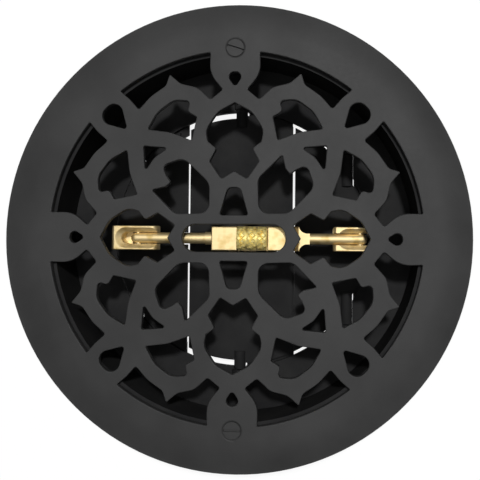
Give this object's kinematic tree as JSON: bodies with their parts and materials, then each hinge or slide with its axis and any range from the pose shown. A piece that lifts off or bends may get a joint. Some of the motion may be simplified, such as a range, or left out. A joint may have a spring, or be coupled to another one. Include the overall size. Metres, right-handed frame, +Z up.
{
  "type": "floor register",
  "caption": "Round cast-iron floor register: pierced scrollwork face plate over a shallow damper can whose louver blades open together by a sliding brass link with a knurled thumb grip.",
  "frame": {"origin": "centre of the duct collar in the plane of the finished floor, where the plate's rim rests", "axes": "+Z up out of the floor, the link slides along X, the louver pivots run along Y"},
  "size_m": [0.254, 0.254, 0.0463],
  "materials": {
    "plate_iron": "satin black powder coat over cast iron",
    "damper_iron": "dull black coat",
    "brass": "polished",
    "pin_steel": "dull, blackened"
  },
  "bodies": {
    "frame": {"face_plate": "plate_iron", "damper_frame": "damper_iron", "frame_screws": "plate_iron"},
    "left_louver": {"left_blade": "damper_iron", "left_pivot_pins": "pin_steel", "left_crank": "brass", "left_crank_rivets": "pin_steel", "left_link_pin": "brass"},
    "middle_louver": {"middle_blade": "damper_iron", "middle_pivot_pins": "pin_steel", "middle_crank": "brass", "middle_crank_rivets": "pin_steel", "middle_link_pin": "brass"},
    "right_louver": {"right_blade": "damper_iron", "right_pivot_pins": "pin_steel", "right_crank": "brass", "right_crank_rivets": "pin_steel", "right_link_pin": "brass"},
    "link": {"link_yoke": "brass", "left_rod": "brass", "thumb_grip": "brass"}
  },
  "joints": [
    {"name": "middle_hinge", "type": "hinge", "parent": "frame", "child": "middle_louver", "pos_m": [0, 0, -0.03], "axis": [0, -1, 0], "range_deg": [0, 50]},
    {"name": "left_hinge", "type": "hinge", "parent": "frame", "child": "left_louver", "pos_m": [-0.0615, 0, -0.03], "axis": [0, -1, 0], "range_deg": [0, 50]},
    {"name": "right_hinge", "type": "hinge", "parent": "frame", "child": "right_louver", "pos_m": [0.0615, 0, -0.03], "axis": [0, -1, 0], "range_deg": [0, 50]},
    {"name": "link_hinge", "type": "hinge", "parent": "middle_louver", "child": "link", "pos_m": [0.00643, 0, -0.006], "axis": [0, -1, 0], "range_deg": [-50, 0]}
  ],
  "couplings": [
    {"joint": "left_hinge", "follows": "middle_hinge", "ratio": 1},
    {"joint": "right_hinge", "follows": "middle_hinge", "ratio": 1},
    {"joint": "link_hinge", "follows": "middle_hinge", "ratio": -1}
  ]
}
